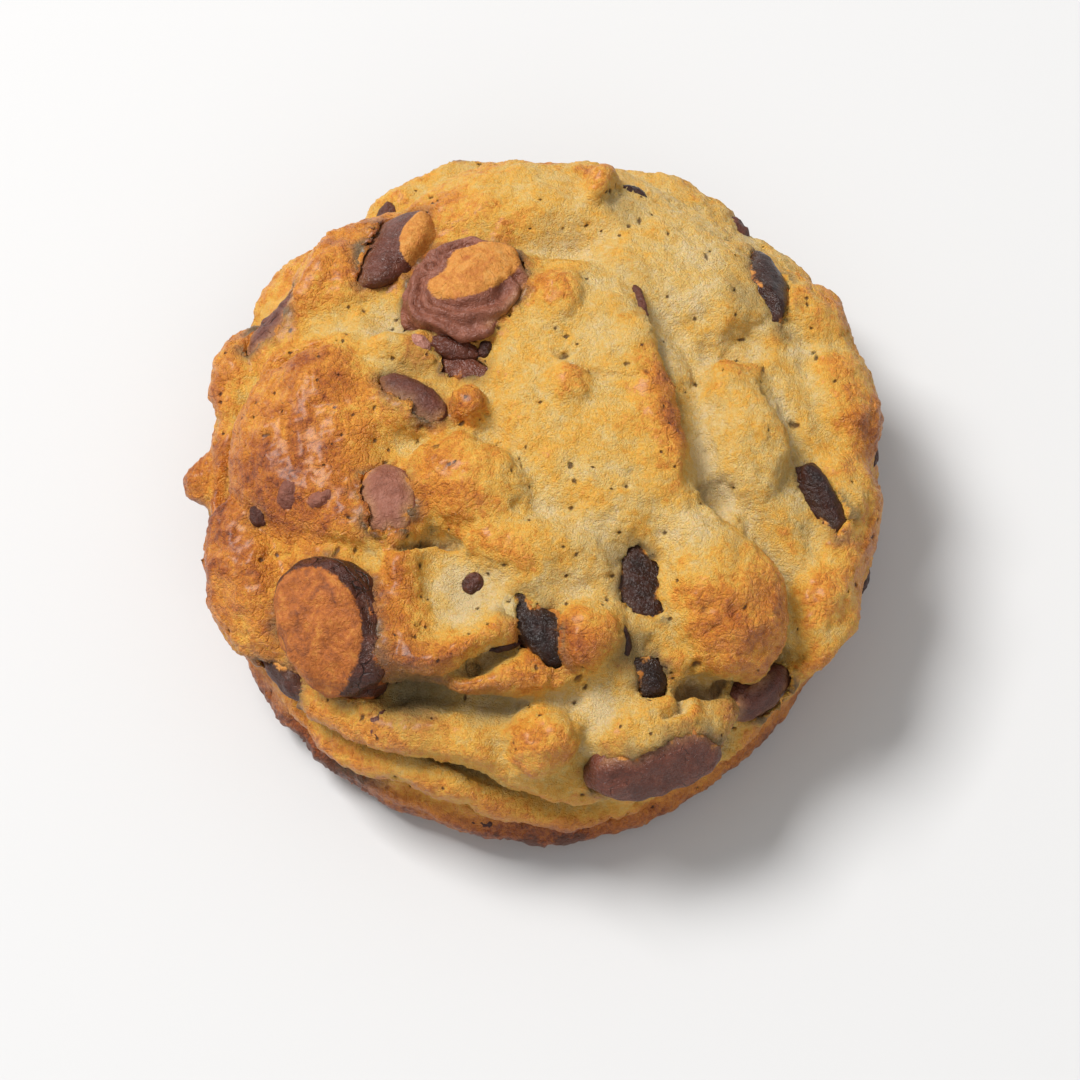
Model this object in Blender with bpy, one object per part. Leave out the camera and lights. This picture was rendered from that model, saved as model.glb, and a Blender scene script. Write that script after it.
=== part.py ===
"""A thick bakery-style chocolate chip cookie, 95 mm by 97 mm across and 36.5 mm tall.

The dough is one solid: a ball that is drawn out to a thick mound, and whose surface then rises in swellings
and ridges and falls in hollows and creases, before it is cut flat underneath, where it lay on the baking
tray. Each chocolate chunk is a solid of its own, seated in a pocket of the dough with a small clearance.

Row frame: origin at the centre of the flat underside, +Z up, +X to the cookie's right, -Y its front.
Places on the mound are given in degrees around (0 is +X, 90 is +Y) and degrees down from the top, as seen
from the middle of its waist. Lengths are in millimetres until the meshes are made.
"""

import bmesh
import bpy
import numpy as np
from mathutils import Matrix, Vector, noise

MM = 0.001

# Driving dimensions.
CORE_RADIUS = np.array([45.6, 46.6])  # left and right, front and back
CORE_TOP = 31.8
WAIST_HEIGHT = 11.0  # where the mound is widest
UNDER_DEPTH = 18.0  # how far it would reach below its waist if the tray didn't cut it off
UPPER_FULLNESS = 2.5  # superellipse exponents: 2 is an ellipse, more is boxier
LOWER_FULLNESS = 3.0
SWELLINGS_CROWDING = 2.4  # how little two swellings add up where they overlap: 1 is a plain sum
NEAR_SIDE = -16.0  # a swelling doesn't reach past where the mound has curved this far away from it
ROUTE_STEP = 1.0  # spacing of the points that a ridge's or crease's route is measured from
FULL_DETAIL = 7  # subdivisions of the ball that is shaped
DOUGH_FACES_KEPT = 0.0345
POCKET_GAP = 0.3
CHUNK_WANDER = 0.16  # share of its size by which a chunk's surface wanders
CHUNK_FULLNESS = 3.4  # superellipse exponent of a chunk's profile
SHARD_CUTS = 6
SHARD_CUT_DEPTH = 0.72  # distance of a cut from a shard's middle, in half sizes
SHARD_CUT_TILT = 0.4  # how far the cuts lean over: 0 is upright
SMALL_CHUNK = 6.0  # chunks with a half length below this are made of fewer faces

# Swellings of the dough: around, down, half length, half breadth, heading of the length, height, and
# fullness, which is 2 for a dome and more for a flat top with a steep edge.
SWELLINGS = {
    "plateau": (20, 19, 21.0, 14.5, 108, 3.0, 3.5),
    "plateau_north": (72, 42, 10.0, 6.5, 170, 2.4, 2.5),
    "ridge_bump": (84, 39, 6.0, 4.6, 60, 3.9, 2.0),
    "small_bump": (45, 13, 4.2, 3.6, 90, 3.9, 2.0),
    "left_knob": (226, 33, 9.6, 6.6, 150, 4.2, 2.2),
    "knob_tail": (262, 42, 12.0, 5.4, 165, 2.4, 2.0),
    "swirl_dome": (117, 46, 10.5, 9.6, 30, 3.0, 2.4),
    "back_crown": (90, 68, 20.0, 11.0, 0, 3.9, 2.2),
    "back_right_crown": (54, 62, 19.0, 11.5, 135, 2.6, 2.4),
    "peak": (78, 66, 4.0, 3.0, 60, 5.6, 1.7),
    "upper_left": (135, 69, 11.5, 8.0, 42, 3.2, 2.2),
    "mid_upper_left": (152, 48, 7.5, 3.6, 165, 2.2, 2.0),
    "left_lobe": (180, 62, 15.0, 12.0, 75, 3.7, 2.6),
    "left_lobe_top": (166, 60, 8.0, 6.0, 60, 3.4, 2.2),
    "left_rim_top": (163, 79, 8.0, 4.4, 75, 3.4, 2.0),
    "middle_ridge": (178, 42, 7.0, 3.4, 155, 2.8, 2.0),
    "middle_knob": (173, 25, 3.2, 3.0, 90, 2.9, 2.0),
    "left_belly": (206, 58, 10.5, 7.5, 165, 2.5, 2.2),
    "left_cheek": (205, 80, 13.0, 8.0, 95, 4.2, 2.4),
    "capped_mound": (226, 69, 11.5, 8.8, 115, 3.6, 2.6),
    "centre_knob": (281, 60, 5.6, 4.8, 70, 3.6, 2.0),
    "right_shelf": (0, 55, 11.0, 6.5, 100, 2.6, 2.8),
    "right_lobe": (314, 65, 12.0, 8.5, 118, 4.6, 2.6),
    "right_lobe_root": (322, 52, 8.0, 4.5, 120, 2.6, 2.2),
    "upper_right_knob": (29, 75, 8.5, 6.5, 130, 3.5, 2.6),
    "right_rim_lobe": (11, 75, 11.0, 6.4, 100, 3.2, 2.6),
    "right_cheek": (346, 75, 11.0, 6.2, 95, 2.8, 2.6),
    "lower_right_rim": (328, 77, 10.0, 5.6, 65, 3.2, 2.4),
    "front_knob": (270, 74, 5.4, 5.0, 15, 4.2, 2.0),
    "front_right_dome": (289, 77, 9.5, 5.8, 15, 4.2, 2.6),
    "edge_knob": (181, 87, 4.0, 3.6, 90, 3.4, 1.8),
    "back_lobe": (108, 82, 13.0, 8.0, 15, 3.0, 2.2),
    "back_right_lobe": (66, 84, 13.0, 8.0, 160, 3.0, 2.2),
    "right_back_knob": (44, 88, 9.0, 7.0, 130, 2.2, 2.2),
    "back_left_lobe": (140, 88, 10.0, 6.5, 40, 2.8, 2.2),
}

# Hollows, given as the swellings are, with their depth in place of the height.
HOLLOWS = {
    "upper_right": (25, 58, 6.0, 4.0, 30, 2.2, 2.0),
    "basin": (246, 54, 8.0, 5.4, 120, 1.7, 2.0),
    "pale_saddle": (141, 54, 6.0, 4.5, 120, 1.2, 2.0),
    "triangle_pit": (299, 54, 6.5, 4.4, 100, 1.8, 2.0),
    "lower_pit": (292, 67, 5.0, 3.4, 100, 1.4, 2.0),
    "under_ridge": (246, 72, 6.5, 3.4, 5, 2.2, 2.0),
    "shelf_pit": (335, 53, 3.4, 2.6, 60, 1.4, 2.0),
    "swirl_foot": (139, 34, 5.0, 4.0, 150, 1.0, 2.0),
    "north_saddle": (84, 56, 9.0, 4.0, 175, 1.4, 2.0),
    "lower_right_tuck": (312, 94, 22.0, 12.0, 50, 1.6, 2.0),
}

# Ridges and, with a height below zero, creases: places along them as (around, down), height, then their
# widths on the left and on the right of the route. A route that runs anticlockwise has the top on its left.
RIDGES = {
    "plateau_rim": (
        ((56, 50), (43, 41), (22, 37), (2, 38), (347, 40), (331, 43), (318, 44)),
        1.5,
        2.4,
        5.0,
    ),
    "valley": (((46, 52), (33, 45), (17, 43), (0, 44), (345, 47), (332, 50), (318, 52)), -2.0, 4.0, 2.6),
    "second_step": (((40, 58), (33, 54), (22, 51), (8, 48)), -0.9, 1.2, 2.4),
    "north_edge": (((98, 52), (84, 51), (70, 53), (58, 53)), 1.2, 1.8, 3.0),
    "shelf_crease": (((16, 58), (6, 61), (359, 64), (352, 67), (344, 70)), -1.5, 1.8, 2.2),
    "lobe_right_crease": (
        ((337, 54), (333, 60), (329, 66), (325, 71), (319, 76), (311, 77)),
        -2.0,
        2.0,
        1.6,
    ),
    "lobe_lip_crease": (((319, 77), (310, 77), (303, 74), (297, 71), (292, 71)), -2.2, 2.2, 1.6),
    "knob_crease": (((222, 52), (228, 48), (236, 45), (244, 45)), -1.6, 1.6, 1.3),
    "west_ridge": (((222, 50), (227, 56), (233, 61), (240, 65), (247, 67)), 2.6, 2.6, 3.0),
    "front_ridge": (((236, 68), (246, 66), (252, 63), (258, 59), (266, 55)), 2.9, 3.4, 1.7),
    "front_ridge_crease": (((248, 69), (256, 65), (264, 62), (273, 61)), -1.3, 1.2, 1.4),
    "front_step": (((234, 72), (244, 69), (254, 67), (264, 66), (274, 66)), 2.3, 3.0, 1.5),
    "front_cliff": (
        ((222, 80), (230, 77), (240, 73), (250, 71), (262, 70), (274, 69), (286, 68)),
        -2.3,
        1.3,
        2.2,
    ),
    "first_lip": (
        ((218, 83), (228, 82), (238, 79), (248, 77), (258, 77), (266, 80), (276, 85), (288, 87)),
        2.2,
        3.6,
        1.5,
    ),
    "first_lip_crease": (
        ((216, 87), (227, 87), (238, 83), (248, 80.5), (258, 81), (268, 86), (280, 89)),
        -1.9,
        1.2,
        1.3,
    ),
    "second_lip": (
        ((222, 91), (232, 89), (242, 86), (250, 83.5), (258, 85), (266, 89), (278, 92), (292, 91)),
        1.9,
        1.6,
        1.4,
    ),
    "second_lip_crease": (
        ((226, 96), (236, 93), (246, 89), (256, 89), (265, 92), (278, 95), (292, 94)),
        -1.8,
        1.2,
        1.4,
    ),
    "right_front_lip": (((284, 88), (294, 86), (300, 80), (304, 75)), 2.0, 1.6, 1.3),
    "right_front_lip_crease": (((286, 91), (297, 88), (304, 81), (308, 77)), -1.5, 1.2, 1.3),
    "right_foot_lip": (((292, 92), (304, 88), (312, 83), (322, 80), (334, 82)), 1.8, 2.0, 1.6),
    "right_foot_crease": (((300, 95), (312, 90), (324, 86), (338, 88), (352, 90)), -1.4, 1.4, 1.6),
    "left_slit_lip": (((166, 73), (158, 71), (150, 69), (142, 69), (134, 73)), 1.6, 2.2, 2.6),
    "left_crack": (((164, 67), (160, 63), (157, 60), (160, 56)), -1.5, 1.2, 1.4),
    "left_side_crease": (((168, 72), (176, 76), (186, 78), (196, 82), (206, 86)), -1.4, 1.6, 1.6),
    "middle_crease": (((194, 46), (190, 40), (186, 34)), -1.1, 1.4, 1.6),
    "capped_crease": (((208, 66), (216, 60), (228, 60), (238, 65), (243, 70)), -1.2, 1.3, 1.6),
    "foot": (((200, 99), (220, 99), (240, 98), (260, 97), (280, 98), (300, 99), (320, 99)), 2.6, 3.6, 4.0),
    "left_foot": (((196, 96), (180, 98), (164, 95), (148, 99)), -2.0, 1.8, 2.0),
    "back_left_fold": (((162, 92), (146, 94), (130, 91), (114, 95)), -1.8, 1.8, 1.8),
    "back_fold": (((104, 90), (90, 94), (74, 91), (58, 95)), -1.8, 1.8, 1.8),
    "back_right_fold": (((48, 93), (34, 90), (20, 94), (6, 92)), -1.8, 1.8, 1.8),
    "back_slope_crease": (((128, 80), (116, 76), (102, 78), (90, 75), (76, 78)), -1.2, 1.8, 2.0),
}

# Chocolate chunks, placed and headed as the swellings are: half length, half breadth, half thickness,
# heading, how far the chunk stands proud of the dough, and whether it is a melted drop or a broken shard.
CHUNKS = {
    "half_moon": (126, 65, 7.4, 4.0, 2.6, 60, 0.6, "drop"),
    "swirl": (118, 48, 8.8, 7.8, 3.6, 40, 0.8, "drop"),
    "swirl_tail": (144, 32, 5.2, 2.8, 2.6, 155, 1.0, "shard"),
    "left_slit": (153, 73, 7.6, 3.2, 2.8, 45, 1.2, "shard"),
    "grey": (172, 41, 5.0, 2.4, 2.4, 142, 0.7, "drop"),
    "round": (210, 51, 5.0, 3.8, 2.4, 95, 0.5, "drop"),
    "capped": (226, 70, 9.4, 7.0, 4.6, 116, 1.7, "drop"),
    "left_rim": (222, 83, 5.2, 2.6, 2.4, 110, 1.0, "shard"),
    "left_edge": (201, 91, 4.8, 2.2, 2.2, 110, 0.9, "shard"),
    "middle": (270, 58, 6.0, 5.0, 3.0, 130, 0.9, "shard"),
    "triangle": (299, 54, 7.0, 4.4, 3.0, 100, 0.9, "shard"),
    "lower": (291, 68, 4.8, 2.8, 2.6, 105, 1.0, "shard"),
    "front": (288, 80, 9.0, 4.6, 3.6, 15, 0.7, "drop"),
    "right_low": (310, 81, 5.0, 2.8, 2.4, 30, 0.8, "drop"),
    "right_sliver": (345, 70, 6.0, 2.4, 2.4, 125, 1.0, "shard"),
    "upper_right": (37, 68, 8.0, 3.8, 3.4, 105, 1.3, "shard"),
    "base_left": (237, 94, 5.0, 2.4, 2.4, 150, 0.4, "drop"),
    "back": (104, 86, 5.0, 3.6, 3.0, 20, 0.5, "drop"),
    "back_right": (70, 90, 4.6, 3.0, 3.0, 60, 0.4, "shard"),
    "back_left": (146, 91, 4.4, 3.0, 3.0, 100, 0.5, "drop"),
}


def core_heights(z):
    """Half height and fullness of the mound above or below its waist."""
    half_height = np.where(z > 0, CORE_TOP - WAIST_HEIGHT, UNDER_DEPTH)
    return half_height, np.where(z > 0, UPPER_FULLNESS, LOWER_FULLNESS)


def core_points(directions):
    """Where rays from the middle of the waist leave the mound, as an array of points."""
    half_height, fullness = core_heights(directions[:, 2])
    across = np.linalg.norm(directions[:, :2] / CORE_RADIUS, axis=1)
    reach = (across**fullness + (np.abs(directions[:, 2]) / half_height) ** fullness) ** (-1 / fullness)
    return directions * reach[:, None]


def core_outward(points):
    """Unit vectors square to the mound's surface at these points of it."""
    half_height, fullness = core_heights(points[:, 2])
    across = np.linalg.norm(points[:, :2] / CORE_RADIUS, axis=1) + 1e-9
    slope = np.empty_like(points)
    slope[:, :2] = across[:, None] ** (fullness[:, None] - 2) * points[:, :2] / CORE_RADIUS**2
    slope[:, 2] = np.sign(points[:, 2]) * np.abs(points[:, 2]) ** (fullness - 1) / half_height**fullness
    return slope / np.linalg.norm(slope, axis=1)[:, None]


def direction(around, down):
    a, d = np.radians(around), np.radians(down)
    return np.array([np.sin(d) * np.cos(a), np.sin(d) * np.sin(a), np.cos(d)])


def local_axes(around, down, heading):
    """A place on the mound, and the axes there: along the heading, across it, and outwards."""
    place = core_points(direction(around, down)[None])
    outward = core_outward(place)[0]
    h = np.radians(heading)
    along = np.array([np.cos(h), np.sin(h), 0.0])
    along -= outward * along.dot(outward)
    along /= np.linalg.norm(along)
    return place[0], along, np.cross(outward, along), outward


def swelling(points, around, down, half_length, half_breadth, heading, height, fullness):
    """How high one swelling lifts each of the mound's points."""
    place, along, across, outward = local_axes(around, down, heading)
    offset = points - place
    flat = np.stack([offset @ along, offset @ across], axis=1)
    flat_distance = np.linalg.norm(flat, axis=1) + 1e-9
    flat *= (np.linalg.norm(offset, axis=1) / flat_distance)[:, None]
    share = np.hypot(flat[:, 0] / half_length, flat[:, 1] / half_breadth)
    share[offset @ outward < NEAR_SIDE] = 1.0
    return height * (1 - np.minimum(share, 1.0) ** fullness)


def route_points(places):
    """Evenly close points of a smooth route over the mound through these places."""
    knots = np.array([direction(*place) for place in places])
    knots = np.concatenate([2 * knots[:1] - knots[1:2], knots, 2 * knots[-1:] - knots[-2:-1]])
    route = []
    for before, start, end, after in zip(knots, knots[1:], knots[2:], knots[3:]):
        length = np.linalg.norm(core_points(start[None]) - core_points(end[None]))
        for t in np.arange(0, 1, ROUTE_STEP / length):
            bend = (end - before) * t + (2 * before - 5 * start + 4 * end - after) * t**2
            route.append(start + (bend + (3 * start - before - 3 * end + after) * t**3) / 2)
    route = np.array(route)
    return core_points(route / np.linalg.norm(route, axis=1)[:, None])


def ridge(points, places, height, left_width, right_width):
    """How high one ridge lifts each of the mound's points, tapering out at both its ends."""
    route = route_points(places)
    heading = np.gradient(route, axis=0)
    heading /= np.linalg.norm(heading, axis=1)[:, None]
    leftward = np.cross(core_outward(route), heading)
    widest = max(left_width, right_width)
    near = np.flatnonzero(np.linalg.norm(points - route.mean(axis=0), axis=1)
                          < np.linalg.norm(route - route.mean(axis=0), axis=1).max() + 3 * widest)
    offsets = points[near][:, None] - route[None]
    nearest = np.linalg.norm(offsets, axis=2).argmin(axis=1)
    offset = offsets[np.arange(len(near)), nearest]
    inner = (nearest > 0) & (nearest < len(route) - 1)
    forward = np.sum(offset * heading[nearest], axis=1) * inner
    offset -= heading[nearest] * forward[:, None]
    on_left = np.sum(offset * leftward[nearest], axis=1) > 0
    width = np.where(on_left, left_width, right_width)
    taper = np.sin(np.pi * (nearest + 0.5) / len(route)) ** 0.5
    lift = np.zeros(len(points))
    lift[near] = height * taper * np.exp(-((np.linalg.norm(offset, axis=1) / width) ** 2))
    return lift


def relief(points):
    """How high the dough stands above each of the mound's points."""
    crowd = sum(swelling(points, *sizes) ** SWELLINGS_CROWDING for sizes in SWELLINGS.values())
    lift = crowd ** (1 / SWELLINGS_CROWDING)
    lift -= sum(swelling(points, *sizes) for sizes in HOLLOWS.values())
    return lift + sum(ridge(points, *sizes) for sizes in RIDGES.values())


def dough_points(directions):
    """Points of the dough's surface along these directions, measured from the tray's surface up."""
    points = core_points(directions)
    return points + core_outward(points) * relief(points)[:, None] + (0, 0, WAIST_HEIGHT)


def clear_scene():
    for obj in list(bpy.data.objects):
        bpy.data.objects.remove(obj, do_unlink=True)


def collection(name):
    made = bpy.data.collections.new(name)
    bpy.context.scene.collection.children.link(made)
    return made


def material(name, colour, roughness):
    made = bpy.data.materials.new(name)
    made.use_nodes = True
    shader = made.node_tree.nodes["Principled BSDF"]
    shader.inputs["Base Color"].default_value = (*colour, 1.0)
    shader.inputs["Roughness"].default_value = roughness
    shader.inputs["Metallic"].default_value = 0.0
    return made


def mesh_object(name, shape, target):
    mesh = bpy.data.meshes.new(name)
    shape.to_mesh(mesh)
    shape.free()
    obj = bpy.data.objects.new(name, mesh)
    target.objects.link(obj)
    return obj


def cut_by(obj, name, cutters):
    cut = obj.modifiers.new(name, "BOOLEAN")
    cut.operation = "DIFFERENCE"
    cut.solver = "EXACT"
    cut.operand_type = "COLLECTION"
    cut.collection = cutters


def tray_cutter(target):
    """Everything below the baking tray's surface."""
    breadth, depth = 200.0, 40.0
    shape = bmesh.new()
    bmesh.ops.create_cube(shape, size=1)
    shape.transform(Matrix.Diagonal((breadth * MM, breadth * MM, depth * MM, 1)))
    shape.transform(Matrix.Translation((0, 0, -depth / 2 * MM)))
    return mesh_object("tray", shape, target)


def baked_dough(target, tray, pockets):
    """The dough, and how far it was shifted to centre it over the origin."""
    shape = bmesh.new()
    bmesh.ops.create_icosphere(shape, subdivisions=FULL_DETAIL, radius=1)
    ball = np.array([vertex.co.normalized() for vertex in shape.verts])
    surface = dough_points(ball)
    shift = -(surface.min(axis=0) + surface.max(axis=0)) / 2 * (1, 1, 0)
    for vertex, point in zip(shape.verts, surface + shift):
        vertex.co = Vector(point) * MM
    dough = mesh_object("dough", shape, target)
    thin = dough.modifiers.new("fewer faces", "DECIMATE")
    thin.ratio = DOUGH_FACES_KEPT
    cut_by(dough, "flat underside", tray)
    cut_by(dough, "chunk pockets", pockets)
    dough.data.materials.append(material("baked dough", (0.62, 0.36, 0.12), 0.6))
    dough.data.shade_smooth()
    return shift


def chunk_shape(kind, half_length, seed):
    """A chunk of half size 1 each way: a melted drop, or a shard with a few flat broken sides."""
    shape = bmesh.new()
    bmesh.ops.create_icosphere(shape, subdivisions=2 if half_length < SMALL_CHUNK else 3, radius=1)
    sides = np.random.default_rng(seed).normal(size=(SHARD_CUTS, 3)) if kind == "shard" else []
    for vertex in shape.verts:
        across, up = vertex.co.xy.length, abs(vertex.co.z)
        vertex.co *= (across**CHUNK_FULLNESS + up**CHUNK_FULLNESS) ** (-1 / CHUNK_FULLNESS)
        vertex.co *= 1 + CHUNK_WANDER * noise.noise(vertex.co * 1.3 + Vector((seed * 7.0, 0, 0)))
        for x, y, z in sides:
            out = Vector((x, y, z * SHARD_CUT_TILT)).normalized()
            vertex.co -= out * max(0.0, vertex.co.dot(out) - SHARD_CUT_DEPTH)
    return shape


def seated(name, seed, grown, shift, sizes, target):
    """A chunk in its place in the dough, or, grown by a clearance, the pocket that it sits in."""
    around, down, half_length, half_breadth, half_thickness, heading, proud, kind = sizes
    along, across, outward = local_axes(around, down, heading)[1:]
    top = dough_points(direction(around, down)[None])[0] + shift
    centre = top + outward * (proud - half_thickness)
    shape = chunk_shape(kind, half_length, seed)
    halves = [(size + grown) * MM for size in (half_length, half_breadth, half_thickness)]
    shape.transform(Matrix.Diagonal(halves + [1]))
    turned = Matrix((along, across, outward)).transposed().to_4x4()
    shape.transform(Matrix.Translation(Vector(centre) * MM) @ turned)
    return mesh_object(name, shape, target)


def chocolate_chunks(target, pockets, tray, shift):
    chocolate = material("chocolate", (0.07, 0.025, 0.015), 0.35)
    for seed, (name, sizes) in enumerate(CHUNKS.items()):
        piece = seated("chunk_" + name, seed, 0.0, shift, sizes, target)
        piece.data.materials.append(chocolate)
        piece.data.shade_smooth()
        cut_by(piece, "flat underside", tray)
        seated("pocket_" + name, seed, POCKET_GAP, shift, sizes, pockets)


def hide(cutters):
    for obj in cutters.objects:
        obj.hide_render = True
        obj.display_type = "WIRE"


clear_scene()
cookie = collection("chocolate chip cookie")
tray = collection("tray cutter")
pockets = collection("pocket cutters")
tray_cutter(tray)
centring = baked_dough(cookie, tray, pockets)
chocolate_chunks(cookie, pockets, tray, centring)
hide(tray)
hide(pockets)
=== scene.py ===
"""The looks of a thick bakery-style chocolate chip cookie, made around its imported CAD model.

The dough and each chocolate chunk are finished from a copy of their CAD node, so they keep its size and
place. Lengths in the sections' tables are in millimetres, and places on the cookie are given in degrees
around (0 is +X, 90 is +Y) and degrees down from the top, as seen from the middle of its waist.
"""

import bpy
import numpy as np
from mathutils import Matrix, Vector, noise
from mathutils.bvhtree import BVHTree
from mathutils.kdtree import KDTree


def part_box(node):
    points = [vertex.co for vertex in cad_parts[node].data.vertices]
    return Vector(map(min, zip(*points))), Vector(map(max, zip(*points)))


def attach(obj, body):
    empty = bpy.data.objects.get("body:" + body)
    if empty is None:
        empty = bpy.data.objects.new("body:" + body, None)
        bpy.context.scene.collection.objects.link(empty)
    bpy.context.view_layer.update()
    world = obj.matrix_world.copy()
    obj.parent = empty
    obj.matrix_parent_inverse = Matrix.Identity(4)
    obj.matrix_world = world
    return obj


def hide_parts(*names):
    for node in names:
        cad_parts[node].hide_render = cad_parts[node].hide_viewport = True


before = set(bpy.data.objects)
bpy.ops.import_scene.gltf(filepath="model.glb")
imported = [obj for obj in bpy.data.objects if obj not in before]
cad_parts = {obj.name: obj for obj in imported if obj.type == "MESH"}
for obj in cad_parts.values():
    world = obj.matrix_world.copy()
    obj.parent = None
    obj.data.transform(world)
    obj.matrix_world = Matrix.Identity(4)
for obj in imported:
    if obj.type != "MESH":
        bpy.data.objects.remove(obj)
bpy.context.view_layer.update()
MM = 0.001


# ---------------------------------------------------------------------------------------------------
# The studio: a pale sweep of paper under a large soft window light from the back left, and a long lens
# that looks down on the cookie. None of it is part of the object.

CAMERA_AIM = Vector((1.1, -6.8, 9.0)) * MM
CAMERA_ELEVATION = 65.0
CAMERA_DISTANCE = 0.410
PAPER_SHADE = 0.60
FLOOR_BREADTH = 6.0


def aimed(thing, place, aim):
    """Puts a camera or light at a place, looking at its aim."""
    thing.location = place
    thing.rotation_mode = "QUATERNION"
    thing.rotation_quaternion = (aim - place).to_track_quat("-Z", "Y")


def soft_light(name, place, breadth, watts, colour):
    bpy.ops.object.light_add(type="AREA")
    light = bpy.context.object
    light.name = name
    light.data.size = breadth
    light.data.energy = watts
    light.data.color = colour
    aimed(light, Vector(place), CAMERA_AIM)


bpy.ops.object.select_all(action="DESELECT")
bpy.ops.object.camera_add()
camera = bpy.context.object
camera.data.lens = 100
camera.data.clip_start = 0.01
elevation = np.radians(CAMERA_ELEVATION)
towards_camera = Vector((0, -np.cos(elevation), np.sin(elevation)))
aimed(camera, CAMERA_AIM + towards_camera * CAMERA_DISTANCE, CAMERA_AIM)
bpy.context.scene.camera = camera

soft_light("window", (-1.0, 0.60, 1.65), 0.80, 52.0, (1.0, 0.99, 0.98))
soft_light("fill", (0.30, -1.6, 1.4), 1.6, 7.0, (1.0, 0.995, 0.99))

world = bpy.data.worlds.new("studio")
world.use_nodes = True
world.node_tree.nodes["Background"].inputs["Color"].default_value = (1.0, 1.0, 1.0, 1.0)
world.node_tree.nodes["Background"].inputs["Strength"].default_value = 0.46
bpy.context.scene.world = world
bpy.context.scene.view_settings.view_transform = "Standard"

bpy.ops.mesh.primitive_plane_add(size=FLOOR_BREADTH)
floor = bpy.context.object
floor.name = "paper_floor"
paper = bpy.data.materials.new("paper")
paper.use_nodes = True
paper.node_tree.nodes["Principled BSDF"].inputs["Base Color"].default_value = (*[PAPER_SHADE] * 3, 1.0)
paper.node_tree.nodes["Principled BSDF"].inputs["Roughness"].default_value = 0.9
floor.data.materials.append(paper)


# ---------------------------------------------------------------------------------------------------
# The dough: one mound of soft butter dough, scooped by hand and baked until its high spots browned.
# Its skin is wrinkled and full of pores, its sides hang in folds, and the chocolate has stained it from
# below.
# Shade is painted into its creases, its pores, the recesses under its folds and low on its sides.

VOXEL = 0.48
SKIN_SMOOTHING = 14
UNDERSIDE = 0.3  # skin lower than this is the flat underside, which no relief moves
UNDERSIDE_RELIEF = 0.06  # share of the displacement that it keeps
KEPT_DETAIL = 0.71  # share of the faces kept, the flat underside losing most
KNOB_REACH = 70
KNOB_HEIGHT = 1.9
LIP_HEIGHT = 0.8
LIP_BREADTH = 1.5
LIP_REACH = 4.0
WAIST = Vector((0, 0, 11.0))
WAIST_REACH = 47.0
ROUTE_STEP = 0.35
BROWNING_REACH = 130  # rounds of smoothing that the browned high spots are measured against

# Folds, creases and cracks finer than the CAD model holds: places along them, how high they stand or how
# deep they go, and their widths on the left and right of the route.
# The sunken routes also keep painted shade along their creases, for the material to darken.
FINE_RIDGES = {
    "first_lip": (
        ((219, 84), (228, 83), (238, 80), (248, 78), (257, 79), (266, 82), (276, 86)),
        0.8, 1.8, 0.8,
    ),
    "first_lip_undercut": (
        ((218, 87), (228, 86), (238, 82.5), (248, 80), (257, 81), (266, 84), (276, 88)),
        -1.5, 0.7, 1.0,
    ),
    "second_lip": (
        ((225, 92), (234, 90), (244, 87), (252, 85), (260, 87), (270, 91), (282, 92)),
        0.9, 1.3, 0.8,
    ),
    "second_lip_undercut": (
        ((226, 95), (236, 93), (246, 89.5), (254, 88), (262, 90), (272, 93.5), (284, 95)),
        -1.5, 0.7, 1.0,
    ),
    "third_lip": (((222, 98), (236, 97), (250, 94), (262, 96), (276, 98), (292, 97)), 0.5, 1.0, 0.9),
    "cliff_shadow": (((226, 79), (234, 75), (242, 72), (250, 70.5), (258, 70), (266, 70)), -1.4, 0.7, 1.5),
    "knob_undercut": (((223, 53), (229, 49), (236, 46.5), (243, 46)), -1.5, 0.7, 0.8),
    "front_ridge_undercut": (((250, 67), (257, 64), (264, 61.5), (271, 60)), -1.0, 0.6, 0.8),
    "lobe_undercut": (((321, 78), (313, 79), (305, 76), (298, 72.5), (292, 71)), -1.6, 0.9, 0.9),
    "right_lip_undercut": (((286, 91), (295, 89), (302, 84), (306, 79)), -1.3, 0.6, 0.8),
    "right_foot_undercut": (((300, 94), (312, 89.5), (324, 86), (338, 87), (350, 89)), -1.2, 0.8, 0.9),
    "valley_crease": (((40, 47), (28, 44), (14, 42.5), (0, 43.5), (347, 46)), -0.9, 0.9, 0.8),
    "shelf_crack": (((12, 59), (5, 61.5), (359, 64), (354, 66)), -0.8, 0.6, 0.6),
    "lobe_crease": (((335, 56), (332, 61), (328, 67), (324, 72)), -0.9, 0.7, 0.6),
    "plateau_crack": (((75, 22), (62, 20), (45, 20), (28, 24), (17, 31)), -0.5, 0.4, 0.4),
    "left_crack": (((163, 66), (159, 62), (157, 59), (160, 55)), -0.9, 0.6, 0.6),
    "side_crease_left": (((172, 75), (182, 79), (194, 82), (204, 87)), -0.9, 0.8, 0.8),
    "side_crease_back": (((150, 90), (138, 93), (124, 90), (112, 94)), -1.0, 0.8, 0.8),
    "back_crease": (((100, 91), (88, 94), (74, 90), (60, 95)), -1.0, 0.8, 0.8),
    "side_crease_right": (((44, 93), (32, 89), (18, 93), (4, 90)), -1.0, 0.8, 0.8),
}

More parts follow.
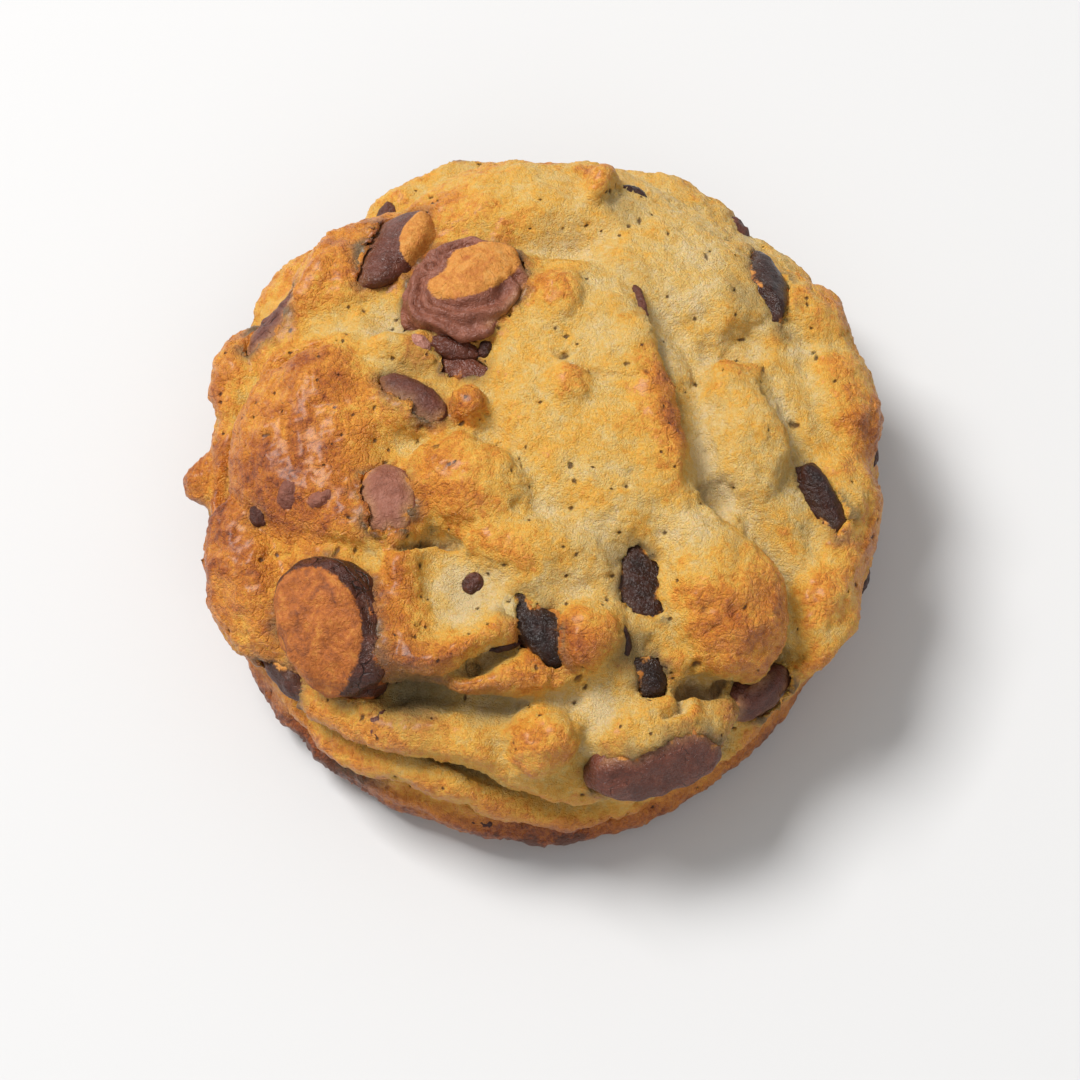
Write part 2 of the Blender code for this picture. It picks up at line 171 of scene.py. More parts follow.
# Where the oven browned the dough more, or less where below zero: place, reach and amount.
BROWNED_PLACES = (
    (181, 62, 13, 0.20), (203, 76, 11, 0.22), (206, 58, 9, 0.22), (226, 34, 8, 0.12), (240, 47, 6, 0.15),
    (233, 58, 6, 0.26), (245, 66, 6.5, 0.22), (217, 62, 5, -0.14),
    (255, 62, 6, 0.14), (268, 63, 5, 0.08), (281, 60, 5, 0.36),
    (270, 74, 5, 0.10), (314, 65, 9, 0.34), (322, 54, 6, -0.15), (84, 39, 4, 0.14), (27, 76, 6, 0.24),
    (135, 70, 9, 0.16), (78, 66, 3, 0.36), (352, 39, 5, 0.18), (8, 38, 5, 0.14), (45, 13, 4, 0.08),
    (173, 25, 4, 0.12), (188, 35, 5, 0.10), (88, 58, 9, -0.10), (52, 58, 14, -0.08), (141, 52, 6, -0.30),
    (246, 54, 6, -0.32), (300, 48, 8, -0.12), (20, 17, 12, -0.04),
    (345, 46, 9, -0.18), (0, 55, 10, -0.04),
    (250, 74, 8, -0.16), (232, 82, 8, -0.10), (285, 68, 7, -0.22),
    (350, 72, 10, -0.08), (330, 72, 6, 0.10),
    (226, 92, 10, 0.10),
    (100, 48, 6, 0.14), (90, 52, 6, 0.16), (128, 62, 7, 0.16), (168, 52, 8, 0.12), (215, 45, 5, 0.10),
    (330, 62, 6, 0.12), (12, 70, 7, 0.06), (20, 62, 5, 0.08), (15, 40, 4, 0.20), (352, 40, 4, 0.18),
    (336, 43, 5, 0.22), (2, 78, 9, 0.32), (342, 80, 8, 0.32),
    (195, 66, 9, 0.12), (112, 64, 9, 0.18), (180, 84, 8, 0.18),
)

# Grey-green stains where chocolate lies just under the skin or bled into the dough, and painted shade in
# the recesses.
STAIN_AND_SHADE_PLACES = (
    (300, 50, 4.5, 0.50), (292, 64, 4.0, 0.75), (293, 70, 4.0, 0.45), (246, 71, 6.5, 0.95),
    (262, 70, 5.0, 0.55), (232, 76, 4.5, 0.50), (250, 56, 5.0, 0.30),
    (272, 60, 4.0, 0.35), (35, 62, 4.0, 0.50), (46, 44, 2.5, 0.45),
    (152, 40, 5.0, 0.40), (138, 28, 4.0, 0.40),
    (70, 62, 3.5, 0.50), (350, 66, 4.0, 0.35), (338, 54, 3.5, 0.40),
    (305, 77, 5.0, 0.45), (268, 80, 5.0, 0.20),
    (3, 63, 3.0, 0.25), (286, 76, 7.0, 0.25), (197, 69, 2.6, 0.50),
    (300, 84, 4.0, 0.30), (58, 50, 4.0, 0.20),
)

# Open pores, with their radius, then how many smaller ones are strewn at random.
OPEN_PORES = (
    (62, 21, 0.9), (50, 19, 0.6), (22, 57, 0.7), (17, 62, 0.6),
    (3, 66, 0.8), (218, 52, 1.0), (231, 47, 0.9),
    (27, 30, 0.7), (20, 33, 0.7), (337, 54, 0.9), (190, 38, 0.8),
    (186, 35, 0.6), (264, 61, 0.8), (160, 63, 0.9),
    (157, 60, 0.8), (303, 70, 0.8), (309, 60, 0.7), (280, 66, 0.6),
    (215, 60, 0.8), (236, 64, 0.9), (226, 79, 0.8),
)
STREWN_PORES = 700


def sight(around, down):
    a, d = np.radians(around), np.radians(down)
    return Vector((np.sin(d) * np.cos(a), np.sin(d) * np.sin(a), np.cos(d)))


def bare_copy(node, name):
    """A new object with a copy of a CAD node's mesh, its doubled vertices merged."""
    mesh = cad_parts[node].data.copy()
    mesh.materials.clear()
    piece = bpy.data.objects.new(name, mesh)
    bpy.context.scene.collection.objects.link(piece)
    bpy.ops.object.select_all(action="DESELECT")
    piece.select_set(True)
    bpy.context.view_layer.objects.active = piece
    bpy.ops.object.mode_set(mode="EDIT")
    bpy.ops.mesh.select_all(action="SELECT")
    bpy.ops.mesh.remove_doubles(threshold=0.00001)
    bpy.ops.object.mode_set(mode="OBJECT")
    return piece


def apply_modifier(piece, kind, **settings):
    bpy.context.view_layer.objects.active = piece
    modifier = piece.modifiers.new(kind.lower(), kind)
    for name, value in settings.items():
        setattr(modifier, name, value)
    bpy.ops.object.modifier_apply(modifier=modifier.name)


def points_of(piece):
    """The piece's vertices and their normals, in millimetres."""
    places = np.empty(len(piece.data.vertices) * 3)
    piece.data.vertices.foreach_get("co", places)
    normals = np.empty(len(places))
    piece.data.vertices.foreach_get("normal", normals)
    return places.reshape(-1, 3) / MM, normals.reshape(-1, 3)


def move_points(piece, places):
    piece.data.vertices.foreach_set("co", (places * MM).ravel())
    piece.data.update()


def paint(piece, name, amounts):
    """Keeps a value for each vertex, for the material to read."""
    kept = piece.data.attributes.new(name, "FLOAT", "POINT")
    kept.data.foreach_set("value", np.clip(amounts, 0, 1).astype(np.float32))


def evened(piece, values, rounds):
    """The values after each vertex has taken its neighbours' average that many times."""
    edges = np.empty(len(piece.data.edges) * 2, dtype=np.int32)
    piece.data.edges.foreach_get("vertices", edges)
    start, end = edges.reshape(-1, 2).T
    count = len(piece.data.vertices)
    neighbours = np.bincount(start, minlength=count) + np.bincount(end, minlength=count)
    for _ in range(rounds):
        total = [
            np.bincount(start, values[:, i][end], count) + np.bincount(end, values[:, i][start], count)
            for i in range(values.shape[1])
        ]
        values = (np.stack(total, axis=1) / neighbours[:, None] + values) / 2
    return values


def surface_finder(piece):
    """A function that gives the point of the piece's skin at a place on the cookie."""
    places, _ = points_of(piece)
    faces = [list(face.vertices) for face in piece.data.polygons]
    skin = BVHTree.FromPolygons([Vector(place) for place in places], faces)

    def find(around, down):
        out = sight(around, down)
        point, normal, _, _ = skin.ray_cast(WAIST + out * 100, -out)
        return np.array(point), np.array(normal)

    return find


def fine_ridge(places, normals, find, stops, height, left_width, right_width):
    """Moves the points near a route over the skin in or out, less towards its ends."""
    knots = np.array([sight(*stop) for stop in stops])
    knots = np.concatenate([2 * knots[:1] - knots[1:2], knots, 2 * knots[-1:] - knots[-2:-1]])
    route = []
    for before, start, end, after in zip(knots, knots[1:], knots[2:], knots[3:]):
        steps = int(np.linalg.norm(end - start) * WAIST_REACH / ROUTE_STEP) + 1
        for t in np.arange(steps) / steps:
            bend = (end - before) * t + (2 * before - 5 * start + 4 * end - after) * t**2
            out = start + (bend + (3 * start - before - 3 * end + after) * t**3) / 2
            around = np.degrees(np.arctan2(out[1], out[0]))
            down = np.degrees(np.arctan2(np.hypot(out[0], out[1]), out[2]))
            route.append(find(around, down))
    outward = np.array([normal for _, normal in route])
    route = np.array([point for point, _ in route])
    heading = np.gradient(route, axis=0)
    heading /= np.linalg.norm(heading, axis=1)[:, None] + 1e-9
    leftward = np.cross(outward, heading)
    middle = route.mean(axis=0)
    reach = np.linalg.norm(route - middle, axis=1).max() + 3 * max(left_width, right_width)
    near = np.flatnonzero(np.linalg.norm(places - middle, axis=1) < reach)
    tree = KDTree(len(route))
    for i, point in enumerate(route):
        tree.insert(point, i)
    tree.balance()
    found = [tree.find(places[i]) for i in near]
    nearest = np.array([i for _, i, _ in found])
    distance = np.array([away for _, _, away in found])
    on_left = np.sum((places[near] - route[nearest]) * leftward[nearest], axis=1) > 0
    width = np.where(on_left, left_width, right_width)
    taper = np.sin(np.pi * (nearest + 0.5) / len(route)) ** 0.5
    lift = height * taper * np.exp(-((distance / width) ** 2))
    places[near] += normals[near] * lift[:, None]
    # Painted shade along the sunken routes.
    depth = np.clip(-height, 0, 1.2) / 1.2 * taper * np.exp(-((distance / (0.7 * width)) ** 2))
    creased[near] = np.maximum(creased[near], depth)


dough = bare_copy("dough", "dough_crumb")
apply_modifier(dough, "REMESH", mode="VOXEL", voxel_size=VOXEL * MM, use_smooth_shade=True)
apply_modifier(dough, "SMOOTH", factor=0.5, iterations=SKIN_SMOOTHING)
skin_point = surface_finder(dough)
places, normals = points_of(dough)
flat_under = places[:, 2] < UNDERSIDE
before = places.copy()
creased = np.zeros(len(places))
for stops, height, left_width, right_width in FINE_RIDGES.values():
    fine_ridge(places, normals, skin_point, stops, height, left_width, right_width)
places[flat_under] = before[flat_under]
move_points(dough, places)

# The folds and knobs stand out further than in the CAD model, and a rough lip closes on each chunk.
places, normals = points_of(dough)
sunk = evened(dough, places, KNOB_REACH)
proud = np.sum((places - sunk) * normals, axis=1)
swell = KNOB_HEIGHT * np.tanh(proud / KNOB_HEIGHT)
outward = places - np.array(WAIST)
outward /= np.linalg.norm(outward, axis=1)[:, None]
facing_out = np.clip(np.sum(outward * normals, axis=1) * 2 - 0.4, 0, 1)
lip_height = np.zeros(len(places))
chunk_bleed_and_shade = np.zeros(len(places))
closing = np.zeros((len(places), 3))
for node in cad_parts:
    if not node.startswith("chunk_"):
        continue
    chunk_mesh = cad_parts[node].data
    corners = [vertex.co / MM for vertex in chunk_mesh.vertices]
    chunk_skin = BVHTree.FromPolygons(corners, [list(face.vertices) for face in chunk_mesh.polygons])
    low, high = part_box(node)
    near = np.all(places > np.array(low) / MM - LIP_REACH, axis=1)
    near &= np.all(places < np.array(high) / MM + LIP_REACH, axis=1)
    for i in np.flatnonzero(near & (facing_out > 0)):
        point, _, _, away = chunk_skin.find_nearest(Vector(places[i]), LIP_REACH)
        if point is None:
            continue
        uneven = 0.75 + 0.9 * noise.noise(Vector(places[i]) * 0.45)
        # Round each chunk a grey-green halo: partly chocolate bled into the dough, partly painted shade of
        # its hollow.
        chunk_bleed_and_shade[i] = max(chunk_bleed_and_shade[i], 0.9 * uneven * np.exp(-((away / 1.7) ** 2)))
        lip = LIP_HEIGHT * uneven * np.exp(-((away / LIP_BREADTH) ** 2)) * facing_out[i]
        if lip > lip_height[i]:
            lip_height[i] = lip
            closing[i] = (np.array(point) - places[i]) * 0.8 * np.exp(-((away / 1.2) ** 2))
swell[lip_height > 0.1] *= 0.4
places += normals * swell[:, None] + outward * lip_height[:, None] + closing
places[flat_under] = before[flat_under]
move_points(dough, places)

# How brown each point is: high spots caught the heat, and so did the places above.
places, normals = points_of(dough)
sunk = evened(dough, places, BROWNING_REACH)
proud = np.sum((places - sunk) * normals, axis=1)
browned = 0.36 + 0.15 * np.clip(proud - 0.35, -1.6, 1.6)
for around, down, reach, amount in BROWNED_PLACES:
    away = np.linalg.norm(places - skin_point(around, down)[0], axis=1)
    browned += amount * np.exp(-((away / reach) ** 2))
browned += 0.10 * np.clip(-places[:, 0] / WAIST_REACH, -0.6, 1)
# Stains from the chocolate, and painted grey-green shade in the recesses under the cliff and the lips.
stained = chunk_bleed_and_shade.copy()
for around, down, reach, amount in STAIN_AND_SHADE_PLACES:
    away = np.linalg.norm(places - skin_point(around, down)[0], axis=1)
    stained = np.maximum(stained, amount * np.exp(-((away / reach) ** 2)))
paint(dough, "browned", browned)
paint(dough, "stained", stained)
# Painted shade in the creases that the fine ridges sank.
paint(dough, "creased", creased)

# Pores: small holes where steam broke through the skin, sunk into it, with painted shade to darken them.
chance = np.random.default_rng(7)
vertex_tree = KDTree(len(places))
for i, place in enumerate(places):
    vertex_tree.insert(place, i)
vertex_tree.balance()
pores = [(skin_point(around, down)[0], 0.75 * radius) for around, down, radius in OPEN_PORES]
for i in chance.choice(len(places), STREWN_PORES, replace=False):
    if places[i, 2] > 1.0 and browned[i] < 0.75:
        pores.append((places[i].copy(), chance.uniform(0.2, 0.42)))
pored = np.zeros(len(places))
sinking = np.zeros(len(places))
for centre, radius in pores:
    stretch = chance.normal(size=3)
    stretch /= np.linalg.norm(stretch)
    for _, i, _ in vertex_tree.find_range(Vector(centre), radius * 2.2):
        offset = places[i] - centre
        away = np.linalg.norm(offset - 0.55 * stretch * offset.dot(stretch)) / radius
        pored[i] = max(pored[i], np.exp(-(away**2) * 1.2))
        sinking[i] = max(sinking[i], radius * 1.1 * np.exp(-(away**2)))
places -= normals * sinking[:, None]
move_points(dough, places)
paint(dough, "pored", pored)


def relief_texture(name, kind, scale, **settings):
    made = bpy.data.textures.new(name, kind)
    made.noise_scale = scale * MM
    for setting, value in settings.items():
        setattr(made, setting, value)
    return made


crust = dough.vertex_groups.new(name="crust")
for level in range(1, 11):
    chosen = np.flatnonzero(np.round(np.clip(browned, 0, 1) * 10) == level)
    crust.add(chosen.tolist(), level / 10, "REPLACE")
lumps = relief_texture("soft lumps", "CLOUDS", 5.5, noise_depth=2)
wrinkles = relief_texture("wrinkled skin", "STUCCI", 1.7, turbulence=12.0)
crags = relief_texture("crags", "STUCCI", 3.2, turbulence=14.0, stucci_type="WALL_OUT")
crumb = relief_texture("crumb", "CLOUDS", 0.7, noise_depth=3)
apply_modifier(dough, "DISPLACE", texture=lumps, strength=1.5 * MM, mid_level=0.5)
apply_modifier(dough, "DISPLACE", texture=crags, strength=0.45 * MM, mid_level=0.5)
apply_modifier(dough, "DISPLACE", texture=wrinkles, strength=0.42 * MM, mid_level=0.5, vertex_group="crust")
apply_modifier(dough, "DISPLACE", texture=crumb, strength=0.34 * MM, mid_level=0.5)
places, normals = points_of(dough)
settled = np.maximum(before[:, 2], 0) + UNDERSIDE_RELIEF * (places[:, 2] - before[:, 2])
places[:, 2] = np.where(flat_under, settled, places[:, 2])
places[:, 2] = np.maximum(places[:, 2], 0.02)
move_points(dough, places)
dough.vertex_groups.clear()
apply_modifier(dough, "DECIMATE", ratio=KEPT_DETAIL)


class Socket:
    """A shader value that Python's own sums work on, and that further nodes are added from."""

    def __init__(self, tree, link=None):
        self.tree = tree
        self.link = link

    def node(self, kind, settings=None, sockets=None, output=0):
        made = self.tree.nodes.new("ShaderNode" + kind)
        for name, value in (settings or {}).items():
            if name == "stops":
                while len(made.color_ramp.elements) < len(value):
                    made.color_ramp.elements.new(1.0)
                for element, (position, colour) in zip(made.color_ramp.elements, value):
                    element.position = position
                    element.color = (*colour, 1.0)
            else:
                setattr(made, name, value)
        for name, value in (sockets or {}).items():
            if isinstance(value, Socket):
                self.tree.links.new(value.link, made.inputs[name])
            else:
                made.inputs[name].default_value = value
        return Socket(self.tree, made.outputs[output])

    def sum(self, operation, first, second):
        return self.node("Math", {"operation": operation}, {0: first, 1: second})

    def __add__(self, other):
        return self.sum("ADD", self, other)

    def __radd__(self, other):
        return self.sum("ADD", other, self)

    def __sub__(self, other):
        return self.sum("SUBTRACT", self, other)

    def __rsub__(self, other):
        return self.sum("SUBTRACT", other, self)

    def __mul__(self, other):
        return self.sum("MULTIPLY", self, other)

    def __rmul__(self, other):
        return self.sum("MULTIPLY", other, self)

    def noise(self, scale, detail=2.0, roughness=0.5, distortion=0.0):
        """Noise on these coordinates, with features of about a scale in millimetres."""
        sockets = {"Vector": self, "Scale": 1 / (scale * MM), "Detail": detail, "Roughness": roughness}
        sockets["Distortion"] = distortion
        return self.node("TexNoise", {}, sockets)

    def crackle(self, scale, wander):
        """How far these coordinates are from the edges of uneven cells of about a scale in millimetres."""
        stray = self.node("TexNoise", {}, {"Vector": self, "Scale": 0.6 / (scale * MM)}, output=1)
        stray = stray.node("VectorMath", {"operation": "SCALE"}, {0: stray, "Scale": wander * scale * MM})
        moved = self.node("VectorMath", {"operation": "ADD"}, {0: self, 1: stray})
        sockets = {"Vector": moved, "Scale": 1 / (scale * MM)}
        return self.node("TexVoronoi", {"feature": "DISTANCE_TO_EDGE"}, sockets)

    def between(self, low, high):
        """0 at and below the low value, 1 at and above the high one."""
        settings = {"interpolation_type": "SMOOTHSTEP"}
        return self.node("MapRange", settings, {"Value": self, "From Min": low, "From Max": high})

    def ramp(self, *stops):
        return self.node("ValToRGB", {"stops": stops}, {"Fac": self})

    def tint(self, amount, colour):
        """This colour mixed with another by an amount."""
        colour = colour if isinstance(colour, Socket) else (*colour, 1.0)
        return self.node("Mix", {"data_type": "RGBA"}, {0: amount, 6: self, 7: colour}, output=2)


def new_material(name):
    """A material, its Principled shader, its Object coordinates, and a reader of painted values."""
    made = bpy.data.materials.new(name)
    made.use_nodes = True
    tree = made.node_tree
    start = Socket(tree)
    position = start.node("TexCoord", output=3)

    def painted(value):
        return start.node("Attribute", {"attribute_name": value}, output=2)

    return made, tree.nodes["Principled BSDF"], position, painted


def wire(shader, name, value):
    """Links a value that varies to the shader's socket."""
    value.tree.links.new(value.link, shader.inputs[name])


baked, shader, position, painted = new_material("baked dough")
patches = position.noise(14, 2.0)
mottle = position.noise(3.4, 3.0, 0.55, 0.6)
speckle = position.noise(0.8, 3.0, 0.6)
grain = position.noise(0.28, 2.0, 0.7)
fibres = position.noise(0.55, 4.0, 0.7, 2.2)
height_above = position.node("SeparateXYZ", {}, {0: position}, output=2)
# Browner towards the bottom: partly the tray's browning, partly painted shade low on the sides under the
# folds.
foot = 1 - (height_above + (mottle - 0.5) * 0.006).between(0.0055, 0.0115)
under = 1 - height_above.between(0.0001, 0.0006)
tone = painted("browned") + (patches - 0.5) * 0.34 + (mottle - 0.5) * 0.66 + (speckle - 0.5) * 0.55
tone = tone + (grain - 0.5) * 0.30 + foot * 0.40 - under * 0.12
colour = tone.ramp(
    (0.00, (0.72, 0.54, 0.27)),
    (0.20, (0.72, 0.47, 0.14)),
    (0.38, (0.73, 0.38, 0.050)),
    (0.55, (0.69, 0.25, 0.018)),
    (0.72, (0.52, 0.150, 0.008)),
    (0.88, (0.31, 0.066, 0.004)),
    (1.00, (0.13, 0.028, 0.003)),
)
# Grey-green stains: partly chocolate bleed, partly painted shade in the recesses and round the chunks.
stain_and_shade_mix = painted("stained") + (mottle - 0.5) * 0.35 * painted("stained")
stain_and_shade_mix = stain_and_shade_mix + (speckle - 0.5) * 0.2 * painted("stained")
colour = colour.tint(stain_and_shade_mix.between(0.05, 0.95) * 0.88, (0.135, 0.100, 0.050))
# Painted shade: the creases and cracks are darkened.
crease_shading = (painted("creased") + (speckle - 0.5) * 0.5).between(0.35, 1.0)
colour = colour.tint(crease_shading * 0.75, (0.12, 0.045, 0.014))
# Painted shade darkens the pores.
pore_hollow_and_shade = (painted("pored") + (speckle - 0.5) * 0.3).between(0.35, 0.85)
colour = colour.tint(pore_hollow_and_shade * 0.85, (0.075, 0.026, 0.010))
wire(shader, "Base Color", colour)
gloss = 0.50 - tone.between(0.35, 0.75) * 0.10 + (speckle - 0.5) * 0.30
wire(shader, "Roughness", gloss)
wire(shader, "Coat Weight", tone.between(0.35, 0.6) * 0.28)
shader.inputs["Coat Roughness"].default_value = 0.32
shader.inputs["Subsurface Weight"].default_value = 0.14
shader.inputs["Subsurface Radius"].default_value = (1.0, 0.45, 0.18)
shader.inputs["Subsurface Scale"].default_value = 1.6 * MM
shader.inputs["Specular IOR Level"].default_value = 0.5
crinkle = 1 - position.crackle(1.5, 1.6).between(0.0, 0.16)
relief = speckle * 0.7 + fibres * 0.55 + grain * 0.95 - pore_hollow_and_shade * 0.8 - crinkle * tone.between(0.3, 0.6) * 0.35
bump = relief.node("Bump", {}, {"Strength": 1.0, "Distance": 0.55 * MM, "Height": relief})
wire(shader, "Normal", bump)
dough.data.materials.append(baked)
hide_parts("dough")
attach(dough, "root")


# ---------------------------------------------------------------------------------------------------
# The chocolate chunks: melted in the oven and set again where they lie. The darker ones stayed whole,
# sunk in the dough; the paler ones spread, wrinkled and took a bloom, some under a thin film of dough.

CHUNK_VOXEL = 0.28
FIT = 0.32  # how far a chunk is let out to close the clearance round its CAD solid
SUNK_IN = 0.35

# Tone (0 dark, 1 milky), gloss (0 matt, 1 wet), wrinkle depth and wrinkle size.
CHUNK_FINISH = {
    "half_moon": (0.42, 0.70, 0.22, 2.0),
    "swirl": (0.68, 0.60, 0.30, 1.1),
    "swirl_tail": (0.46, 0.90, 0.25, 1.6),
    "left_slit": (0.50, 0.40, 0.55, 1.4),
    "grey": (0.42, 0.35, 0.22, 1.0),
    "round": (0.74, 0.15, 0.20, 0.9),
    "capped": (0.30, 0.60, 0.65, 2.2),
    "left_rim": (0.30, 0.60, 0.40, 1.2),
    "left_edge": (0.30, 0.50, 0.40, 1.2),
    "middle": (0.02, 0.75, 0.35, 1.6),
    "triangle": (0.12, 0.80, 0.30, 1.8),
    "lower": (0.03, 0.75, 0.35, 1.6),
    "front": (0.50, 0.80, 0.40, 1.8),
    "right_low": (0.40, 0.40, 0.40, 1.2),
    "right_sliver": (0.15, 0.60, 0.40, 1.2),
    "upper_right": (0.12, 0.90, 0.20, 1.8),
    "base_left": (0.15, 0.45, 0.40, 1.2),
    "back": (0.40, 0.55, 0.35, 1.4),
    "back_right": (0.15, 0.70, 0.35, 1.3),
    "back_left": (0.60, 0.35, 0.45, 1.3),
}

# Films of browned dough over a chunk, in millimetres east and north of its middle: half length, half
# breadth, heading and how much of it the film hides.
FILMS = {
    "swirl": ((0.8, 1.6, 6.4, 3.9, 30, 1.0),),
    "capped": ((-2.2, -1.4, 5.2, 7.8, 24, 1.0),),
    "front": ((0.5, 2.6, 7.4, 2.2, 12, 0.8),),
    "half_moon": ((3.4, 1.6, 2.4, 5.0, -20, 0.9),),
}

chocolate, shader, position, painted = new_material("chocolate")
clouding = position.noise(2.6, 3.0, 0.6, 0.8)
dust = position.noise(0.5, 3.0, 0.65)
creases = position.noise(0.9, 3.0, 0.6, 1.8)
cracks = 1 - position.crackle(2.4, 2.2).between(0.0, 0.07)
cracked = cracks * (painted("wrinkling") - painted("film") + (clouding - 0.5) * 1.2).between(0.35, 0.8)
milky = painted("tone") + (clouding - 0.5) * 0.55 + (dust - 0.5) * 0.22 - cracked * 0.40
colour = milky.ramp(
    (0.00, (0.010, 0.0020, 0.001)),
    (0.25, (0.045, 0.0095, 0.004)),
    (0.50, (0.130, 0.036, 0.020)),
    (0.75, (0.250, 0.086, 0.049)),
    (1.00, (0.400, 0.175, 0.125)),
)
browned_film = (painted("browned") + (clouding - 0.5) * 1.0 + (dust - 0.5) * 0.6).ramp(
    (0.00, (0.60, 0.31, 0.080)),
    (0.35, (0.54, 0.215, 0.033)),
    (0.65, (0.38, 0.105, 0.012)),
    (1.00, (0.12, 0.028, 0.007)),
)
film = (painted("film") + (creases - 0.5) * 0.7 + (clouding - 0.5) * 0.5).between(0.35, 0.62)
colour = colour.tint(painted("rim") * (0.35 + dust * 0.7), (0.42, 0.215, 0.095))
wire(shader, "Base Color", colour.tint(film, browned_film))
dull = 0.66 - painted("gloss") * 0.50 + (dust - 0.5) * 0.24 + (clouding - 0.5) * 0.20
wire(shader, "Roughness", dull + film * (0.62 - dull))
relief = creases * 0.8 + dust * 0.4 - cracked * 0.8
bump = relief.node("Bump", {}, {"Strength": 0.9, "Distance": 0.5 * MM, "Height": relief})
wire(shader, "Normal", bump)
shader.inputs["Subsurface Weight"].default_value = 0.03
shader.inputs["Specular IOR Level"].default_value = 0.40
shader.inputs["Subsurface Scale"].default_value = 0.8 * MM


# How much the dough's fat and flour cloud the rim of a chunk, 0.1 where it isn't given.
RIM_HAZE = {
    "round": 1.0, "grey": 0.9, "swirl": 0.7, "front": 0.6, "right_low": 0.7, "half_moon": 0.4,
    "left_slit": 0.8,
}


def film_share(across, up, shapes):
    """How much a film covers each point, from its place east and north of the chunk's middle."""
    share = np.zeros(len(across))
    for east, north, half_length, half_breadth, heading, cover in shapes:
        turn = np.radians(heading)
        along = (across - east) * np.cos(turn) + (up - north) * np.sin(turn)
        aside = (up - north) * np.cos(turn) - (across - east) * np.sin(turn)
        away = np.hypot(along / half_length, aside / half_breadth)
        share = np.maximum(share, cover * np.clip((1.12 - away) / 0.24, 0, 1))
    return share


dough_places, _ = points_of(dough)
dough_faces = [list(face.vertices) for face in dough.data.polygons]
dough_skin = BVHTree.FromPolygons([Vector(place) for place in dough_places], dough_faces)
for name, (tone_of, gloss_of, wrinkle_depth, wrinkle_size) in CHUNK_FINISH.items():
    chunk = bare_copy("chunk_" + name, "chocolate_" + name)
    apply_modifier(chunk, "REMESH", mode="VOXEL", voxel_size=CHUNK_VOXEL * MM, use_smooth_shade=True)
    apply_modifier(chunk, "SMOOTH", factor=0.5, iterations=5)
    places, normals = points_of(chunk)
    middle = (places.max(axis=0) + places.min(axis=0)) / 2
    across, up = (places - middle)[:, :2].T
    share = film_share(across, up, FILMS.get(name, ()))
    lift = np.full(len(places), FIT) + 0.35 * share * (normals[:, 2] > 0)
    if name == "swirl":
        # A curl of chocolate beside the film, and the melted ring's folds round it.
        turn = np.arctan2(up - 3.0, across + 4.8)
        from_curl = np.hypot(across + 4.8, up - 3.0)
        curl = np.exp(-((from_curl / 2.4) ** 4))
        share = np.clip(share - 1.2 * curl, 0, 1)
        lift += 0.45 * curl * np.cos(from_curl * 3.4 - turn)
        from_middle = np.hypot(across * 0.95, up * 1.05)
        stray = np.array([noise.noise(Vector(place) * 0.22) for place in places])
        lift += 0.50 * (1 - share) * (1 - curl) * np.cos(from_middle * 2.6 + 5 * stray)
        lift += 0.9 * share * (1 - np.clip(from_middle / 7, 0, 1))
    inward = np.array(WAIST) - middle
    places += inward / np.linalg.norm(inward) * SUNK_IN
    rim = np.zeros(len(places))
    for i in np.flatnonzero(normals @ -inward > 0):
        away = dough_skin.find_nearest(Vector(places[i]), 1.5)[3]
        if away is not None:
            rim[i] = RIM_HAZE.get(name, 0.1) * np.exp(-((away / 0.8) ** 2))
            smear = 0.48 * np.exp(-((away / 0.55) ** 2)) + 0.5 * noise.noise(Vector(places[i]) * 0.6)
            share[i] = max(share[i], smear * (away < 1.2))
    move_points(chunk, places + normals * lift[:, None])
    paint(chunk, "film", share)
    paint(chunk, "rim", rim)
    paint(chunk, "wrinkling", np.full(len(places), wrinkle_depth))
    paint(chunk, "browned", np.full(len(places), 0.68 if name == "capped" else 0.38))
    paint(chunk, "tone", np.full(len(places), tone_of))
    paint(chunk, "gloss", np.full(len(places), gloss_of))
    wrinkled = relief_texture("wrinkles of " + name, "STUCCI", wrinkle_size, turbulence=8.0)
    apply_modifier(chunk, "DISPLACE", texture=wrinkled, strength=wrinkle_depth * MM, mid_level=0.5)
    chunk.data.materials.append(chocolate)
    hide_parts("chunk_" + name)
    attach(chunk, "root")


# ---------------------------------------------------------------------------------------------------
# The small chips: bits of chocolate too small to be parts, half sunk in the dough's skin, and a bead of
# caramel-brown fat that ran out beside the large melted chunk.

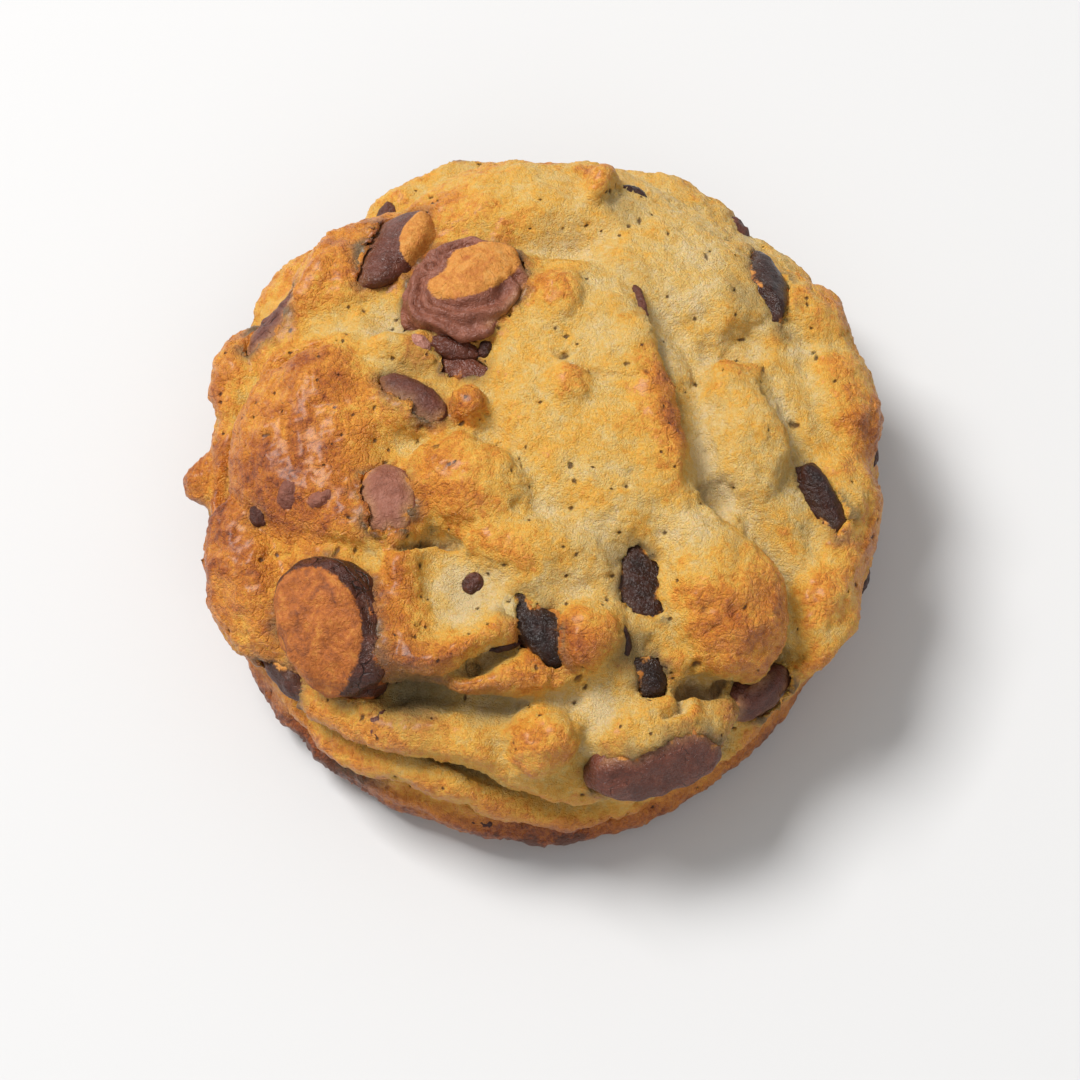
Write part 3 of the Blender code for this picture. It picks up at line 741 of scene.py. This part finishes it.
# Places, half lengths, half breadths and half thicknesses, headings, then tone and gloss as above.
SMALL_CHIPS = {
    "cheek_chip": (197, 61, 2.2, 1.8, 1.4, 60, 0.62, 0.2),
    "cheek_crumb": (202, 56, 1.9, 1.4, 1.3, 20, 0.66, 0.2),
    "burnt_chip": (197, 69, 1.5, 1.3, 0.9, 100, 0.30, 0.2),
    "shelf_chip": (243, 78, 2.3, 1.9, 2.4, 80, 0.40, 0.5),
    "basin_chip": (251, 53, 1.5, 1.3, 1.0, 40, 0.30, 0.5),
    "rim_slit": (50, 46, 3.0, 0.7, 0.9, 95, 0.40, 0.3),
    "crown_chip": (69, 66, 2.2, 1.1, 1.0, 155, 0.15, 0.6),
    "edge_chip": (4, 84, 2.4, 0.8, 1.0, 95, 0.30, 0.4),
    "bead": (143, 41, 1.7, 1.3, 1.3, 160, 1.00, 0.8),
    "tail_root": (133, 37, 4.0, 2.0, 1.6, 160, 0.40, 0.9),
    "tail_crumb": (122, 30, 1.6, 1.0, 1.0, 60, 0.20, 0.6),
    "ridge_slit": (264, 61, 2.2, 0.6, 0.8, 10, 0.15, 0.4),
    "lower_slit": (292, 62, 0.7, 2.4, 0.9, 10, 0.15, 0.4),
    "foot_chip": (262, 95, 2.2, 1.2, 1.0, 170, 0.30, 0.4),
    "front_foot_chip": (298, 88, 2.6, 1.2, 1.0, 40, 0.35, 0.4),
    "right_foot_chip": (344, 92, 2.4, 1.4, 1.0, 20, 0.20, 0.5),
    "back_foot_chip": (92, 96, 2.4, 1.4, 1.0, 10, 0.30, 0.4),
    "back_chip": (118, 78, 2.0, 1.5, 1.0, 60, 0.35, 0.5),
    "back_right_chip": (52, 82, 2.2, 1.4, 1.0, 120, 0.40, 0.4),
}

for name, row in SMALL_CHIPS.items():
    around, down, half_length, half_breadth, half_thick, heading, tone_of, gloss_of = row
    point, outward = skin_point(around, down)
    bpy.ops.object.select_all(action="DESELECT")
    bpy.ops.mesh.primitive_ico_sphere_add(subdivisions=4, radius=MM)
    chip = bpy.context.object
    chip.name = name
    turn = np.radians(heading)
    along = Vector((np.cos(turn), np.sin(turn), 0))
    outward = Vector(outward)
    along = (along - outward * along.dot(outward)).normalized()
    axes = Matrix((along, outward.cross(along), outward)).transposed().to_4x4()
    chip.data.transform(Matrix.Diagonal((half_length, half_breadth, half_thick, 1)))
    chip.data.transform(Matrix.Translation(Vector(point) * MM - outward * 0.45 * half_thick * MM) @ axes)
    uneven = relief_texture("unevenness of " + name, "CLOUDS", 1.1, noise_depth=2)
    apply_modifier(chip, "DISPLACE", texture=uneven, strength=0.7 * MM, mid_level=0.5)
    chip.data.shade_smooth()
    count = len(chip.data.vertices)
    values = {"film": 0.0, "browned": 0.3, "tone": tone_of, "gloss": gloss_of, "wrinkling": 0.3}
    for value, amount in values.items():
        paint(chip, value, np.full(count, amount))
    chip.data.materials.append(chocolate)
    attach(chip, "root")
